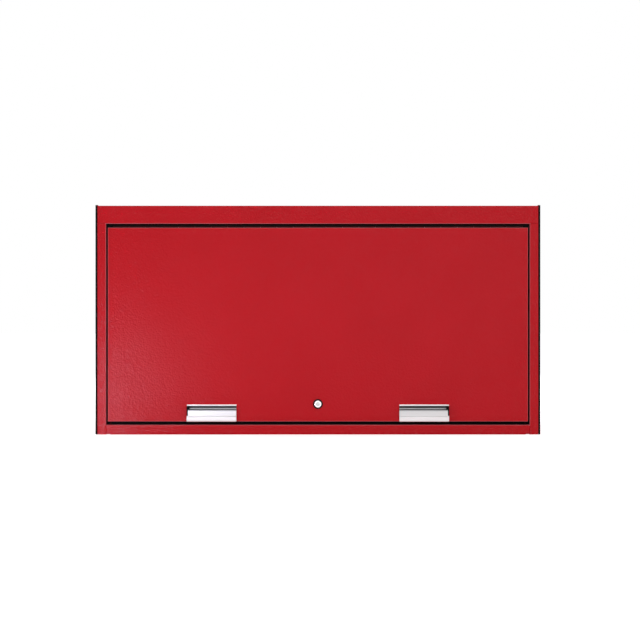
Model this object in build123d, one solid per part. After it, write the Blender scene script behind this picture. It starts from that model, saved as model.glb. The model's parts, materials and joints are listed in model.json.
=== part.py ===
from build123d import *
import os
from math import asin, cos, degrees, radians, sin

# Tool chest hutch: a sheet steel cabinet whose front is one lift-up door.
# Millimetres. +Z is up, the door faces -Y, and the origin is the middle of the underside.

# Cabinet
WIDTH = 1372.0
HEIGHT = 705.0
DEPTH = 560.0
SHEET = 1.2
BEND_RADIUS = 2.2
SIDE_RISE = 2.0
HEADER_HEIGHT = 55.5
SILL_HEIGHT = 30.0
STILE_WIDTH = 33.5
BEVEL_WIDTH = 7.0
BEVEL_DEPTH = 7.0
CORNER_STRIP_EDGE = 2.2
CORNER_STRIP_ROUND = 1.5
STOP_WIDTH = 12.0
SILL_STOP_HEIGHT = 32.0
SILL_FOOT = 22.0
FLANGE = 15.0
SEAM = 0.4
BACK_MARGIN = 1.0

# Floor holes for the bolts into the chest below, and cable holes in the back
BOLT_INSET_X = 86.0
BOLT_INSET_Y = 60.0
BOLT_HOLE_RADIUS = 5.5
CABLE_HOLE_RADIUS = 30.0
CABLE_HOLE_INSET = 186.0
CABLE_HOLE_HEIGHT = 95.0
GROMMET_WALL = 3.0
GROMMET_LIP = 5.0
GROMMET_LIP_DEPTH = 2.5

# Stiffening channels under the top and inside the door
CHANNEL_FACE = 34.0
CHANNEL_FOOT = 16.0
TOP_CHANNEL_DEPTH = 20.0
TOP_CHANNEL_SPACING = 620.0
TOP_CHANNEL_END_GAP = 20.0
DOOR_CHANNEL_SPACING = 430.0
DOOR_CHANNEL_END_GAP = 20.0

# Door
DOOR_SIDE_GAP = 5.0
DOOR_TOP_GAP = 12.0
DOOR_BOTTOM_GAP = 10.0
DOOR_DEPTH = 22.0
DOOR_EDGE_RADIUS = 2.0
INNER_SHEET = 0.9
INNER_TOP_DROP = 42.5
INNER_EDGE_GAP = 0.2

# Continuous hinge
BARREL_RADIUS = 3.2
PIN_RADIUS = 1.6
PIN_CLEARANCE = 0.05
LEAF = 1.2
LEAF_HEIGHT = 27.0
HINGE_POCKET = 2.9
HINGE_CLEARANCE = 0.4
HINGE_RISE = 1.0
HINGE_END_GAP = 15.0
KNUCKLE_PITCH = 50.8
KNUCKLE_GAP = 0.5
RAIL_END_GAP = 10.0
RAIL_HEIGHT = 40.0

# Seals
SEAL_DEPTH = 3.4
SEAL_GAP = 0.6
SEAL_EDGE_GAP = 0.5
SEAL_ROUND = 1.0
SILL_SEAL_HEIGHT = 28.0
HEADER_SEAL_DEPTH = 2.8

# Pulls, each an extrusion with an open finger pocket
PULL_WIDTH = 152.4
PULL_SPACING = 654.0
PULL_HEIGHT = 52.4
PULL_WALL = 2.6
PULL_REACH = 20.0
PULL_LEAN = 2.0
PULL_LIP_HEIGHT = 35.5
PULL_BEND = 5.0
PULL_HEEL = 3.4
PULL_LIP_ROLL = 1.9
PULL_RIB = 0.9
PULL_RIB_HEIGHT = 42.0
PULL_BEAD_RADIUS = 2.3
PULL_GROOVE_HEIGHT = 15.5
PULL_GROOVE = 0.9
CAP_END = 3.8
CAP_PLUG = 8.3
CAP_FOOT_HEIGHT = 18.5
CAP_TOP_HEIGHT = 46.4
CAP_GAP = 0.05
PULL_SCREW_SPACING = 100.0
PULL_SCREW_HEIGHT = 30.0

# Lock
LOCK_HEIGHT = 53.9
BEZEL_RADIUS = 11.5
BEZEL_DEPTH = 2.5
BEZEL_CHAMFER = 1.0
TRIM_RADIUS = 15.4
TRIM_DEPTH = 1.0
HOUSING_RADIUS = 9.0
HOUSING_LENGTH = 29.5
HOUSING_CLEARANCE = 0.1
LOCK_ACCESS_RADIUS = 20.0
LOCK_NUT_FLATS = 25.0
LOCK_NUT_DEPTH = 3.5
PLUG_RADIUS = 6.2
PLUG_CLEARANCE = 0.05
PLUG_RECESS = 0.3
KEYWAY_LENGTH = 7.6
KEYWAY_WIDTH = 1.6
KEYWAY_DEPTH = 6.0
CAM_GAP = 0.5
CAM_DEPTH = 3.0
CAM_LENGTH = 44.0
CAM_WIDTH = 16.0
CAM_NUT_FLATS = 11.0
CAM_NUT_DEPTH = 4.0
CAM_TANG = 7.0
CAM_THREAD_RADIUS = 3.0

# Gas struts: both ball centres lie the same distance from the hinge axis
STRUT_REACH = 300.0
STRUT_SPREAD_DEG = 70.0
STRUT_SIDE_GAP = 6.0
DOOR_BALL_STANDOFF = 21.0
STUD_LENGTH = 15.0
BALL_RADIUS = 5.0
BALL_CLEARANCE = 0.15
STUD_NECK_RADIUS = 2.8
STUD_NECK_CLEARANCE = 0.6
STUD_COLLAR_FLATS = 11.0
STUD_COLLAR_DEPTH = 4.0
STUD_SHANK_RADIUS = 3.0
STUD_TAIL = 3.0
SOCKET_RADIUS = 8.0
SOCKET_WIDTH = 12.0
SOCKET_NECK_RADIUS = 5.0
SOCKET_NECK_LENGTH = 18.0
TUBE_RADIUS = 9.0
TUBE_WALL = 1.0
TUBE_BASE = 4.0
TUBE_MOUTH_GAP = 12.0
GLAND_LENGTH = 10.0
ROD_RADIUS = 4.0
ROD_CLEARANCE = 0.15
PISTON_LENGTH = 8.0
PISTON_CLEARANCE = 0.2
PISTON_END_GAP = 22.0
FIT_GAP = 0.05

# Strut brackets
BRACKET_SHEET = 2.0
BRACKET_BEND = 3.0
WALL_BRACKET_FACE = 40.0
WALL_BRACKET_FOOT = 24.0
WALL_BRACKET_SPLAY = 8.0
WALL_BRACKET_HEIGHT = 50.0
DOOR_BRACKET_FOOT = 26.0
DOOR_BRACKET_TIP = 14.0
DOOR_BRACKET_HEIGHT = 50.0
BRACKET_HOLE_SPACING = 28.0

# Screws: pan heads on plain shanks
SCREW_RADIUS = 2.4
SCREW_CLEARANCE = 0.1
SCREW_HEAD_RADIUS = 4.6
SCREW_HEAD_DEPTH = 2.4
SCREW_HEAD_ROUND = 1.2
SCREW_TAIL = 4.0
BACK_SCREW_COLUMNS = 4
BACK_SCREW_ROWS = 3
PULL_SCREW_BITE_SHARE = 0.7

# One overrun serves every through cut
OVERRUN = 2.0

# Places worked out from the sizes above
half_width = WIDTH / 2
front = -DEPTH / 2
back = DEPTH / 2
back_inner = back - SHEET
wall_inner = half_width - SHEET
opening_half = half_width - STILE_WIDTH
stop_edge = opening_half - STOP_WIDTH
stop_front = front + DOOR_DEPTH + SEAL_GAP + SEAL_DEPTH
header_under = HEIGHT - HEADER_HEIGHT
corner_seam = half_width - BEVEL_WIDTH - BEND_RADIUS
sill_stop_top = SILL_HEIGHT + SILL_STOP_HEIGHT
door_half = opening_half - DOOR_SIDE_GAP
door_bottom = SILL_HEIGHT + DOOR_BOTTOM_GAP
door_top = header_under - DOOR_TOP_GAP
door_back = front + DOOR_DEPTH
inner_top = door_top - INNER_TOP_DROP
leaf_offset = BARREL_RADIUS + HINGE_CLEARANCE
axis_y = front + SHEET + HINGE_POCKET + SHEET + leaf_offset
axis_z = door_top + HINGE_RISE
hinge_half = door_half - HINGE_END_GAP
rail_front = axis_y + leaf_offset
lock_z = door_bottom + LOCK_HEIGHT
bezel_front = front - TRIM_DEPTH - BEZEL_DEPTH
housing_back = front + HOUSING_LENGTH
cap_root = PULL_WALL + PULL_RIB
cap_reach = PULL_REACH - PULL_LEAN - PULL_WALL - CAP_GAP
strut_x = stop_edge - STRUT_SIDE_GAP - TUBE_RADIUS
door_ball_angle = degrees(asin((door_back - axis_y + DOOR_BALL_STANDOFF) / STRUT_REACH))
wall_ball_angle = door_ball_angle + STRUT_SPREAD_DEG
shut_length = 2 * STRUT_REACH * sin(radians(STRUT_SPREAD_DEG / 2))
tube_end = shut_length - SOCKET_NECK_LENGTH - TUBE_MOUTH_GAP
rod_length = shut_length - SOCKET_NECK_LENGTH - TUBE_BASE - PISTON_END_GAP


def ball_place(angle):
    """Return (y, z) at the strut reach from the hinge axis, angle degrees behind straight down."""
    return (axis_y + STRUT_REACH * sin(radians(angle)), axis_z - STRUT_REACH * cos(radians(angle)))


door_ball_y, door_ball_z = ball_place(door_ball_angle)
wall_ball_y, wall_ball_z = ball_place(wall_ball_angle)


# Shared forms
def bent_sheet(points, side, thickness=SHEET, radius=BEND_RADIUS):
    """Return the section of a folded sheet whose visible face follows the points."""
    line = FilletPolyline(*points, radius=radius)
    return make_face(offset(line, amount=thickness, side=side, closed=True))


def block(x_span, y_span, z_span):
    """Return a box between two limits on each axis."""
    size = [high - low for low, high in (x_span, y_span, z_span)]
    middle = [(high + low) / 2 for low, high in (x_span, y_span, z_span)]
    return Pos(*middle) * Box(*size)


def both_sides(part):
    """Return a part and its mirror image, as one."""
    return part + mirror(part, about=Plane.YZ)


def rod_along(axis, centre, radius, length):
    """Return a cylinder that starts at the centre point and runs along an axis."""
    plane = Plane(origin=centre, z_dir=axis)
    return extrude(plane * Circle(radius), amount=length)


def screw(point, direction, grip):
    """Return a pan head screw: the head's seat is at the point, the shank runs along the direction."""
    head = extrude(Circle(SCREW_HEAD_RADIUS), amount=-SCREW_HEAD_DEPTH)
    head = fillet(head.edges().group_by(Axis.Z)[0], SCREW_HEAD_ROUND)
    shank = extrude(Circle(SCREW_RADIUS), amount=grip)
    return Plane(origin=point, z_dir=direction) * (head + shank)


def screw_hole(point, direction, grip):
    """Return the clearance hole for a screw, through the sheets that it grips."""
    start = Vector(*point) - Vector(*direction) * OVERRUN
    return rod_along(direction, start, SCREW_RADIUS + SCREW_CLEARANCE, grip + OVERRUN)


def hat_section(depth, thickness):
    """Return a hat channel's section: its feet stand on y = 0 and its face reaches y = depth."""
    face_half = CHANNEL_FACE / 2
    foot_end = face_half + CHANNEL_FOOT
    points = [
        (-foot_end, thickness),
        (-face_half, thickness),
        (-face_half, depth),
        (face_half, depth),
        (face_half, thickness),
        (foot_end, thickness),
    ]
    return bent_sheet(points, Side.RIGHT, thickness)


# Cabinet shell
def side_panel():
    """Return the right side panel: wall, bevel, stile, reveal, stop and rear flange in one sheet."""
    points = [
        (stop_edge, stop_front),
        (opening_half, stop_front),
        (opening_half, front),
        (half_width - BEVEL_WIDTH, front),
        (half_width, front + BEVEL_DEPTH),
        (half_width, back_inner),
        (half_width - FLANGE, back_inner),
    ]
    panel = extrude(bent_sheet(points, Side.LEFT), amount=HEIGHT + SIDE_RISE)
    header_notch = block(
        (stop_edge - OVERRUN, corner_seam),
        (front - OVERRUN, stop_front + SHEET + OVERRUN),
        (header_under, HEIGHT + SIDE_RISE + OVERRUN),
    )
    return panel - header_notch


def corner_strip():
    """Return the rubber strip on the right bevel, which fills the corner between stile and wall."""
    outline = Polyline(
        (half_width - BEVEL_WIDTH, front),
        (half_width - BEVEL_WIDTH + CORNER_STRIP_EDGE, front),
        (half_width, front + BEVEL_DEPTH - CORNER_STRIP_EDGE),
        (half_width, front + BEVEL_DEPTH),
        close=True,
    )
    strip = extrude(make_face(outline), amount=HEIGHT + SIDE_RISE)
    outer_edges = strip.edges().filter_by(Axis.Z).sort_by(Axis((0, 0, 0), (1, -1, 0)))[-2:]
    return fillet(outer_edges, CORNER_STRIP_ROUND)


def top_panel():
    """Return the top with its rear flange and the header bent down over the door."""
    points = [
        (back_inner, HEIGHT - FLANGE),
        (back_inner, HEIGHT),
        (front, HEIGHT),
        (front, header_under),
        (rail_front + SHEET - BEND_RADIUS, header_under),
    ]
    panel = extrude(Plane.YZ * bent_sheet(points, Side.LEFT), amount=wall_inner, both=True)
    bevel_back = front + BEVEL_DEPTH + BEND_RADIUS
    outside = half_width + OVERRUN
    corner = Polyline(
        (corner_seam, front - OVERRUN),
        (outside, front - OVERRUN),
        (outside, bevel_back),
        (wall_inner, bevel_back),
        (corner_seam, front + SHEET),
        close=True,
    )
    bevel_cut = extrude(make_face(corner), amount=HEADER_HEIGHT + 2 * OVERRUN)
    bevel_cut = Pos(0, 0, header_under - OVERRUN) * bevel_cut
    rear_notch = block(
        (half_width - FLANGE - SEAM, outside),
        (back_inner - BEND_RADIUS - SEAM, back + OVERRUN),
        (HEIGHT - FLANGE - OVERRUN, HEIGHT + OVERRUN),
    )
    return panel - both_sides(bevel_cut) - both_sides(rear_notch)


def floor_panel():
    """Return the floor: flanges turned up at the sides and the back, bolt holes and notched corners."""
    points = [(-wall_inner, FLANGE), (-wall_inner, 0), (wall_inner, 0), (wall_inner, FLANGE)]
    across = Plane(origin=(0, back_inner, 0), x_dir=(1, 0, 0), z_dir=(0, -1, 0))
    panel = extrude(across * bent_sheet(points, Side.LEFT), amount=back_inner - front)
    rear_half = half_width - FLANGE - SEAM
    panel += block((-rear_half, rear_half), (back_inner - SHEET, back_inner), (0, FLANGE))
    front_notch = block(
        (stop_edge - SEAM, half_width + OVERRUN),
        (front - OVERRUN, stop_front + SHEET + SEAM),
        (-OVERRUN, FLANGE + OVERRUN),
    )
    rear_notch = block(
        (rear_half, half_width + OVERRUN),
        (back_inner - BEND_RADIUS - SEAM, back + OVERRUN),
        (-OVERRUN, FLANGE + OVERRUN),
    )
    panel -= both_sides(front_notch) + both_sides(rear_notch)
    bolt_hole = rod_along((0, 0, 1), (0, 0, -OVERRUN), BOLT_HOLE_RADIUS, SHEET + 2 * OVERRUN)
    for place in GridLocations(WIDTH - 2 * BOLT_INSET_X, DEPTH - 2 * BOLT_INSET_Y, 2, 2):
        panel -= place * bolt_hole
    return panel


def back_screw_points():
    """Return the seats of the screws that hold the back panel to the flanges."""
    half_row = half_width - FLANGE / 2
    low = FLANGE / 2 + SHEET
    high = HEIGHT - FLANGE / 2
    columns = [half_row * (2 * i / (BACK_SCREW_COLUMNS - 1) - 1) for i in range(BACK_SCREW_COLUMNS)]
    rows = [low + (high - low) * i / (BACK_SCREW_ROWS - 1) for i in range(BACK_SCREW_ROWS)]
    edge_points = [(x, z) for x in columns[1:-1] for z in (rows[0], rows[-1])]
    side_points = [(x, z) for x in (columns[0], columns[-1]) for z in rows]
    return [(x, back, z) for x, z in edge_points + side_points]


def cable_hole_points():
    """Return the centres of the two cable holes on the back face."""
    return [(side * (half_width - CABLE_HOLE_INSET), back, CABLE_HOLE_HEIGHT) for side in (-1, 1)]


def back_panel():
    """Return the flat back sheet with its screw holes and cable holes."""
    edge = half_width - BACK_MARGIN
    panel = block((-edge, edge), (back_inner, back), (BACK_MARGIN, HEIGHT - BACK_MARGIN))
    for point in back_screw_points():
        panel -= screw_hole(point, (0, -1, 0), SHEET + OVERRUN)
    for x, y, z in cable_hole_points():
        panel -= rod_along((0, -1, 0), (x, y + OVERRUN, z), CABLE_HOLE_RADIUS, SHEET + 2 * OVERRUN)
    return panel


def drill_back_screws(part):
    """Return a flange part with the back panel's screw holes."""
    for point in back_screw_points():
        part -= screw_hole(point, (0, -1, 0), 2 * SHEET + OVERRUN)
    return part


def cable_grommets():
    """Return the rubber grommets, each a turned ring that grips the back sheet."""
    inner = CABLE_HOLE_RADIUS - GROMMET_WALL
    outer = CABLE_HOLE_RADIUS + GROMMET_LIP
    lip_half = SHEET / 2 + GROMMET_LIP_DEPTH
    groove_half = SHEET / 2
    outline = Polyline(
        (inner, -lip_half),
        (outer - GROMMET_LIP_DEPTH, -lip_half),
        (outer, -groove_half),
        (CABLE_HOLE_RADIUS, -groove_half),
        (CABLE_HOLE_RADIUS, groove_half),
        (outer, groove_half),
        (outer - GROMMET_LIP_DEPTH, lip_half),
        (inner, lip_half),
        close=True,
    )
    ring = revolve(Plane.XZ * make_face(outline), Axis.Z)
    middle = SHEET / 2
    return [Plane(origin=(x, y - middle, z), z_dir=(0, -1, 0)) * ring for x, y, z in cable_hole_points()]


def sill_rail():
    """Return the rail under the door: foot, face, ledge and the stop behind the door."""
    points = [
        (front + SILL_FOOT, SHEET),
        (front, SHEET),
        (front, SILL_HEIGHT),
        (stop_front, SILL_HEIGHT),
        (stop_front, sill_stop_top),
    ]
    rail = extrude(Plane.YZ * bent_sheet(points, Side.RIGHT), amount=opening_half - SEAM, both=True)
    end_notch = block(
        (stop_edge - SEAM, opening_half + OVERRUN),
        (stop_front - BEND_RADIUS, stop_front + SHEET + OVERRUN),
        (0, sill_stop_top + OVERRUN),
    )
    return rail - both_sides(end_notch)


def hinge_rail():
    """Return the angle on the header's ledge that carries the hinge."""
    ledge_top = header_under + SHEET
    points = [
        (front + SHEET + BEND_RADIUS, ledge_top + SHEET),
        (rail_front + SHEET, ledge_top + SHEET),
        (rail_front + SHEET, header_under - RAIL_HEIGHT),
    ]
    return extrude(Plane.YZ * bent_sheet(points, Side.RIGHT), amount=door_half - RAIL_END_GAP, both=True)


def top_stiffeners():
    """Return the hat channels welded under the top, running front to back."""
    section = hat_section(TOP_CHANNEL_DEPTH, SHEET)
    rear = back_inner - FLANGE - TOP_CHANNEL_END_GAP
    fore = stop_front + TOP_CHANNEL_END_GAP
    under = HEIGHT - SHEET
    channels = []
    for side in (-1, 1):
        start = (side * TOP_CHANNEL_SPACING / 2, fore, under)
        place = Plane(origin=start, x_dir=(1, 0, 0), z_dir=(0, 1, 0))
        channels.append(extrude(place * section, amount=rear - fore))
    return channels


# Seals
def seal_strip(x_span, y_span, z_span, along, across, heel):
    """Return a rubber strip: its heel clears the bend behind it, and its nose is rounded.

    The heel is the first (0) or the last (-1) rear edge when the edges are sorted across the strip.
    """
    strip = block(x_span, y_span, z_span)
    rear_edges = strip.edges().filter_by(along).group_by(Axis.Y)[-1]
    strip = fillet(rear_edges.sort_by(across)[heel], BEND_RADIUS)
    fore_edges = strip.edges().filter_by(along).group_by(Axis.Y)[0]
    return fillet(fore_edges.sort_by(across)[-1 - heel], SEAL_ROUND)


def side_seal():
    """Return the strip on the right stop, behind the door's edge."""
    return seal_strip(
        (stop_edge + SEAL_EDGE_GAP, opening_half - SEAL_EDGE_GAP),
        (stop_front - SEAL_DEPTH, stop_front),
        (SILL_HEIGHT + SEAL_EDGE_GAP, header_under - SEAL_EDGE_GAP),
        Axis.Z,
        Axis.X,
        -1,
    )


def sill_seal():
    """Return the strip on the sill's stop, which closes the gap under the door."""
    low = SILL_HEIGHT + SEAL_EDGE_GAP
    edge = stop_edge - SEAL_EDGE_GAP
    depth_span = (stop_front - SEAL_DEPTH, stop_front)
    return seal_strip((-edge, edge), depth_span, (low, low + SILL_SEAL_HEIGHT), Axis.X, Axis.Z, 0)


def header_seal():
    """Return the strip above the hinge barrel that closes the gap over the door."""
    edge = door_half - RAIL_END_GAP
    strip = block(
        (-edge, edge),
        (rail_front - HEADER_SEAL_DEPTH, rail_front),
        (axis_z + BARREL_RADIUS + SEAL_GAP, header_under - SEAL_EDGE_GAP),
    )
    return fillet(strip.edges().filter_by(Axis.X).group_by(Axis.Y)[0], SEAL_ROUND)


# Continuous hinge
def knuckle_spans(first):
    """Return the x limits of every second knuckle, starting at the first or the second."""
    count = 2 * (int(2 * hinge_half / KNUCKLE_PITCH) // 2) + 1
    pitch = 2 * hinge_half / count
    gap = KNUCKLE_GAP / 2
    starts = [-hinge_half + i * pitch for i in range(first, count, 2)]
    return [(start + gap, start + pitch - gap) for start in starts]


def hinge_leaf(side, first):
    """Return a leaf with its knuckles; side is 1 on the frame and -1 on the door."""
    outer = axis_y + side * leaf_offset
    thickness_span = sorted((outer, outer - side * LEAF))
    leaf = block((-hinge_half, hinge_half), thickness_span, (axis_z - LEAF_HEIGHT, axis_z))
    clear = BARREL_RADIUS + HINGE_CLEARANCE
    for low, high in knuckle_spans(1 - first):
        leaf -= block((low - KNUCKLE_GAP, high + KNUCKLE_GAP), (outer - leaf_offset, outer + leaf_offset),
                      (axis_z - clear, axis_z + clear))
    for low, high in knuckle_spans(first):
        leaf += rod_along((1, 0, 0), (low, axis_y, axis_z), BARREL_RADIUS, high - low)
    bore_half = hinge_half + OVERRUN
    bore_radius = PIN_RADIUS + PIN_CLEARANCE
    return leaf - rod_along((1, 0, 0), (-bore_half, axis_y, axis_z), bore_radius, 2 * bore_half)


def hinge_pin():
    """Return the hinge pin, as long as the barrel."""
    return rod_along((1, 0, 0), (-hinge_half, axis_y, axis_z), PIN_RADIUS, 2 * hinge_half)


# Door
def pull_screw_points():
    """Return the seats of the pull screws on the inside of the door skin."""
    places = []
    for side in (-1, 1):
        for end in (-1, 1):
            x = side * PULL_SPACING / 2 + end * PULL_SCREW_SPACING / 2
            places.append((x, front + SHEET, door_bottom + PULL_SCREW_HEIGHT))
    return places


def door_skin():
    """Return the door's outer pan: face, edge returns, and the strip that carries the hinge."""
    shell = block((-door_half, door_half), (front, door_back), (door_bottom, door_top))
    shell = fillet(shell.faces().sort_by(Axis.Y)[0].edges(), DOOR_EDGE_RADIUS)
    inside = door_half - SHEET
    inside_span = (-inside, inside)
    open_back = door_back + OVERRUN
    hollow = block(inside_span, (front + SHEET, open_back), (door_bottom + SHEET, door_top - SHEET))
    hollow = fillet(hollow.faces().sort_by(Axis.Y)[0].edges(), DOOR_EDGE_RADIUS - SHEET)
    strip_back = axis_y - leaf_offset
    top_span = (door_top - SHEET - OVERRUN, door_top + OVERRUN)
    skin = shell - hollow - block(inside_span, (strip_back, open_back), top_span)
    skin += block(inside_span, (strip_back - SHEET, strip_back), (door_top - LEAF_HEIGHT, door_top))
    hole_radius = HOUSING_RADIUS + HOUSING_CLEARANCE
    skin -= rod_along((0, 1, 0), (0, front - OVERRUN, lock_z), hole_radius, SHEET + 2 * OVERRUN)
    for point in pull_screw_points():
        skin -= screw_hole(point, (0, -1, 0), SHEET + OVERRUN)
    return skin


def door_inner_panel():
    """Return the sheet that closes the back of the door, turned forward to the skin at its top."""
    points = [
        (door_back, door_bottom + DOOR_EDGE_RADIUS + INNER_EDGE_GAP),
        (door_back, inner_top),
        (front + SHEET, inner_top),
    ]
    section = bent_sheet(points, Side.LEFT, INNER_SHEET)
    panel = extrude(Plane.YZ * section, amount=door_half - DOOR_EDGE_RADIUS - INNER_EDGE_GAP, both=True)
    panel -= rod_along((0, 1, 0), (0, door_back - INNER_SHEET - OVERRUN, lock_z), LOCK_ACCESS_RADIUS,
                       INNER_SHEET + 2 * OVERRUN)
    for point in both_door_bracket_screw_points():
        panel -= screw_hole(point, (0, -1, 0), BRACKET_SHEET + INNER_SHEET + OVERRUN)
    return panel


def door_stiffeners():
    """Return the upright hat channels between the skin and the inner panel."""
    section = hat_section(DOOR_DEPTH - SHEET - INNER_SHEET, SHEET)
    low = door_bottom + SHEET + DOOR_CHANNEL_END_GAP
    high = inner_top - INNER_SHEET - DOOR_CHANNEL_END_GAP
    channel = extrude(section, amount=high - low)
    return [Pos(side * DOOR_CHANNEL_SPACING / 2, front + SHEET, low) * channel for side in (-1, 1)]


# Pulls
def pull_plane(x):
    """Return the section plane of a pull: local X points out of the door, local Y points up."""
    return Plane(origin=(x, front, door_bottom), x_dir=(0, -1, 0), z_dir=(-1, 0, 0))


def lip_face(height):
    """Return how far the lip's outer face stands out at a height above the pull's foot."""
    return PULL_REACH - PULL_LEAN + PULL_LEAN * height / PULL_LIP_HEIGHT


def right_pull():
    """Return the right pull: base plate, heel, grooved lip with rolled edges, cut back for its end cap."""
    line = FilletPolyline(
        (0, PULL_HEIGHT),
        (0, 0),
        (PULL_REACH - PULL_LEAN, 0),
        (PULL_REACH, PULL_LIP_HEIGHT),
        radius=(PULL_HEEL, PULL_BEND),
    )
    section = make_face(offset(line, amount=PULL_WALL, side=Side.LEFT, closed=True))
    section += Pos(PULL_BEAD_RADIUS, PULL_HEIGHT - PULL_BEAD_RADIUS) * Circle(PULL_BEAD_RADIUS)
    section += Pos(PULL_WALL, PULL_RIB_HEIGHT) * Circle(PULL_RIB)
    section += Pos(PULL_REACH - PULL_LIP_ROLL, PULL_LIP_HEIGHT) * Circle(PULL_LIP_ROLL)
    section -= Pos(lip_face(PULL_GROOVE_HEIGHT), PULL_GROOVE_HEIGHT) * Circle(PULL_GROOVE)
    centre = PULL_SPACING / 2
    pull = extrude(pull_plane(centre) * section, amount=PULL_WIDTH / 2, both=True)
    outer_end = centre + PULL_WIDTH / 2
    pull -= block(
        (outer_end - CAP_END - CAP_GAP, outer_end + OVERRUN),
        (front - PULL_REACH - OVERRUN, front - cap_root),
        (door_bottom + CAP_FOOT_HEIGHT - CAP_GAP, door_bottom + CAP_TOP_HEIGHT + CAP_GAP),
    )
    for point in pull_screw_points():
        pull -= screw_hole(point, (0, -1, 0), SHEET + PULL_WALL * PULL_SCREW_BITE_SHARE)
    return pull


def right_end_cap():
    """Return the cap at the right pull's outer end: an end flange and a plug in the pocket."""
    root = cap_root + CAP_GAP
    flange_line = Polyline(
        (root, CAP_FOOT_HEIGHT),
        (lip_face(CAP_FOOT_HEIGHT), CAP_FOOT_HEIGHT),
        (lip_face(PULL_LIP_HEIGHT), PULL_LIP_HEIGHT),
        (cap_reach, CAP_TOP_HEIGHT),
        (root, CAP_TOP_HEIGHT),
        close=True,
    )
    outer_end = PULL_SPACING / 2 + PULL_WIDTH / 2
    flange = extrude(pull_plane(outer_end) * make_face(flange_line), amount=CAP_END)
    plug = block(
        (outer_end - CAP_PLUG, outer_end),
        (front - cap_reach, front - root),
        (door_bottom + CAP_FOOT_HEIGHT, door_bottom + CAP_TOP_HEIGHT),
    )
    return flange + plug


# Lock
def hexagon(flats):
    """Return a hexagon by the distance across its flats."""
    return RegularPolygon(flats / 2, 6, major_radius=False)


def lock_plane(y):
    """Return a plane across the lock's axis, facing the back."""
    return Plane(origin=(0, y, lock_z), x_dir=(1, 0, 0), z_dir=(0, 1, 0))


def lock_housing():
    """Return the lock's bezel and barrel, bored for the plug."""
    bezel = extrude(lock_plane(bezel_front) * Circle(BEZEL_RADIUS), amount=BEZEL_DEPTH)
    bezel = chamfer(bezel.edges().group_by(Axis.Y)[0], BEZEL_CHAMFER)
    barrel_length = TRIM_DEPTH + HOUSING_LENGTH
    barrel = extrude(lock_plane(front - TRIM_DEPTH) * Circle(HOUSING_RADIUS), amount=barrel_length)
    bore_length = BEZEL_DEPTH + barrel_length + 2 * OVERRUN
    bore_section = lock_plane(bezel_front - OVERRUN) * Circle(PLUG_RADIUS + PLUG_CLEARANCE)
    return bezel + barrel - extrude(bore_section, amount=bore_length)


def lock_trim_ring():
    """Return the black ring between the bezel and the door."""
    section = Circle(TRIM_RADIUS) - Circle(HOUSING_RADIUS + HOUSING_CLEARANCE)
    return extrude(lock_plane(front - TRIM_DEPTH) * section, amount=TRIM_DEPTH)


def lock_nut():
    """Return the nut that clamps the lock to the skin."""
    section = hexagon(LOCK_NUT_FLATS) - Circle(HOUSING_RADIUS + HOUSING_CLEARANCE)
    return extrude(lock_plane(front + SHEET) * section, amount=LOCK_NUT_DEPTH)


def lock_plug():
    """Return the turning plug: keyway in front, square tang and threaded end behind."""
    face = bezel_front + PLUG_RECESS
    plug = extrude(lock_plane(face) * Circle(PLUG_RADIUS), amount=housing_back - face)
    tang_length = CAM_GAP + CAM_DEPTH
    plug += extrude(lock_plane(housing_back) * Rectangle(CAM_TANG, CAM_TANG), amount=tang_length)
    plug += extrude(lock_plane(housing_back + tang_length) * Circle(CAM_THREAD_RADIUS), amount=CAM_NUT_DEPTH)
    keyway = Rectangle(KEYWAY_LENGTH, KEYWAY_WIDTH)
    return plug - extrude(lock_plane(face - OVERRUN) * keyway, amount=KEYWAY_DEPTH + OVERRUN)


def lock_cam():
    """Return the cam, pointing sideways with the lock open."""
    length = CAM_LENGTH + CAM_WIDTH / 2
    blade = Pos((CAM_LENGTH - CAM_WIDTH / 2) / 2, 0) * SlotOverall(length, CAM_WIDTH)
    blade -= Rectangle(CAM_TANG + 2 * FIT_GAP, CAM_TANG + 2 * FIT_GAP)
    return extrude(lock_plane(housing_back + CAM_GAP) * blade, amount=CAM_DEPTH)


def lock_cam_nut():
    """Return the nut that holds the cam on the plug."""
    section = hexagon(CAM_NUT_FLATS) - Circle(CAM_THREAD_RADIUS + FIT_GAP)
    return extrude(lock_plane(housing_back + CAM_GAP + CAM_DEPTH) * section, amount=CAM_NUT_DEPTH)


# Gas struts
def strut_plane(at_wall):
    """Return the right strut's plane at one ball: local Z runs along the strut, local X to the right."""
    wall = Vector(strut_x, wall_ball_y, wall_ball_z)
    door = Vector(strut_x, door_ball_y, door_ball_z)
    start, end = (wall, door) if at_wall else (door, wall)
    return Plane(origin=start, x_dir=(1, 0, 0), z_dir=end - start)


def ball_on_stem(ball_radius, stem_radius, stem_length):
    """Return a ball at the origin with a stem along Z, turned in one piece."""
    section = Circle(ball_radius) + Pos(0, stem_length / 2) * Rectangle(2 * stem_radius, stem_length)
    reach = ball_radius + stem_length
    right_half = Pos(reach / 2, 0) * Rectangle(reach, 2 * reach)
    return revolve(Plane.XZ * (section & right_half), Axis.Z)


def ball_socket(stud_side):
    """Return a strut's end socket, open towards the stud, in the strut's own frame."""
    eye = rod_along((1, 0, 0), (-SOCKET_WIDTH / 2, 0, 0), SOCKET_RADIUS, SOCKET_WIDTH)
    socket = eye + rod_along((0, 0, 1), (0, 0, 0), SOCKET_NECK_RADIUS, SOCKET_NECK_LENGTH)
    mouth = STUD_NECK_RADIUS + STUD_NECK_CLEARANCE
    seat = ball_on_stem(BALL_RADIUS + BALL_CLEARANCE, mouth, SOCKET_WIDTH)
    return socket - Plane(origin=(0, 0, 0), z_dir=(stud_side, 0, 0)) * seat


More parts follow.
